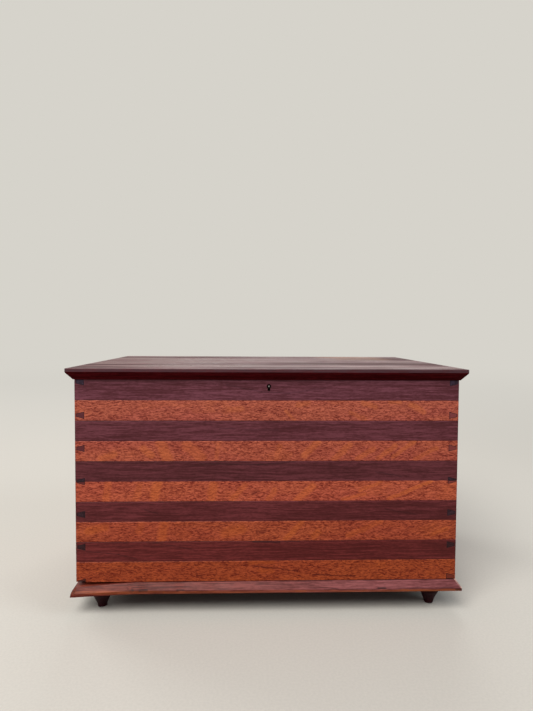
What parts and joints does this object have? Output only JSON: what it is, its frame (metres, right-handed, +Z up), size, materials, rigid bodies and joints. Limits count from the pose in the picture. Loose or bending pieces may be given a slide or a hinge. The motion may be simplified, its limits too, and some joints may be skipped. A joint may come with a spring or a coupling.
{
  "type": "miniature chest",
  "caption": "Small dovetailed chest laminated from alternating dark and light strips of wood, with a hinged bevelled lid, a chest lock, a bevelled base and turned feet.",
  "frame": {"origin": "on the surface that the chest stands on, in the middle of the space that the closed chest takes up", "axes": "+X to the right of someone who faces the keyhole, -Y out of the front, +Z up"},
  "size_m": [0.422, 0.2904, 0.2633],
  "materials": {
    "dark_strip_wood": "worn oil and wax over fine-grained purple-brown walnut",
    "light_strip_wood": "worn oil and wax over orange-red quarter-sawn wood with ray fleck",
    "lid_wood": "worn satin wax over dark walnut with long streaks",
    "base_wood": "worn and nicked walnut, lighter on the bevel",
    "foot_wood": "dark turned wood, dull",
    "hinge_brass": "aged brass, dull",
    "lock_brass": "aged brass, file marks",
    "fastener_steel": "darkened steel",
    "nail_iron": "darkened iron"
  },
  "bodies": {
    "case": {"front_strip_01": "dark_strip_wood", "front_strip_02": "light_strip_wood", "front_strip_03": "dark_strip_wood", "front_strip_04": "light_strip_wood", "front_strip_05": "dark_strip_wood", "front_strip_06": "light_strip_wood", "front_strip_07": "dark_strip_wood", "front_strip_08": "light_strip_wood", "front_strip_09": "dark_strip_wood", "front_strip_10": "light_strip_wood", "back_strip_01": "dark_strip_wood", "back_strip_02": "light_strip_wood", "back_strip_03": "dark_strip_wood", "back_strip_04": "light_strip_wood", "back_strip_05": "dark_strip_wood", "back_strip_06": "light_strip_wood", "back_strip_07": "dark_strip_wood", "back_strip_08": "light_strip_wood", "back_strip_09": "dark_strip_wood", "back_strip_10": "light_strip_wood", "left_strip_01": "dark_strip_wood", "left_strip_02": "light_strip_wood", "left_strip_03": "dark_strip_wood", "left_strip_04": "light_strip_wood", "left_strip_05": "dark_strip_wood", "left_strip_06": "light_strip_wood", "left_strip_07": "dark_strip_wood", "left_strip_08": "light_strip_wood", "left_strip_09": "dark_strip_wood", "left_strip_10": "light_strip_wood", "right_strip_01": "dark_strip_wood", "right_strip_02": "light_strip_wood", "right_strip_03": "dark_strip_wood", "right_strip_04": "light_strip_wood", "right_strip_05": "dark_strip_wood", "right_strip_06": "light_strip_wood", "right_strip_07": "dark_strip_wood", "right_strip_08": "light_strip_wood", "right_strip_09": "dark_strip_wood", "right_strip_10": "light_strip_wood", "base_board": "base_wood", "foot_front_left": "foot_wood", "foot_front_right": "foot_wood", "foot_back_left": "foot_wood", "foot_back_right": "foot_wood", "case_hinge_leaf_left": "hinge_brass", "case_hinge_leaf_right": "hinge_brass", "hinge_pins": "fastener_steel", "case_screws": "fastener_steel", "base_nails": "nail_iron", "lock_plate": "lock_brass", "lock_case": "lock_brass", "lock_spring": "fastener_steel", "drill_pin": "fastener_steel"},
    "lid": {"lid_board": "lid_wood", "lid_hinge_leaf_left": "hinge_brass", "lid_hinge_leaf_right": "hinge_brass", "lid_screws": "fastener_steel", "link_plate": "lock_brass"},
    "bolt": {"lock_bolt": "lock_brass"}
  },
  "joints": [
    {"name": "lid_hinge", "type": "hinge", "parent": "case", "child": "lid", "pos_m": [0, 0.14292, 0.2515], "axis": [-1, 0, 0], "range_deg": [0, 180]},
    {"name": "lock_bolt_slide", "type": "slide", "parent": "case", "child": "bolt", "axis": [1, 0, 0], "range_m": [0, 0.0028]}
  ]
}
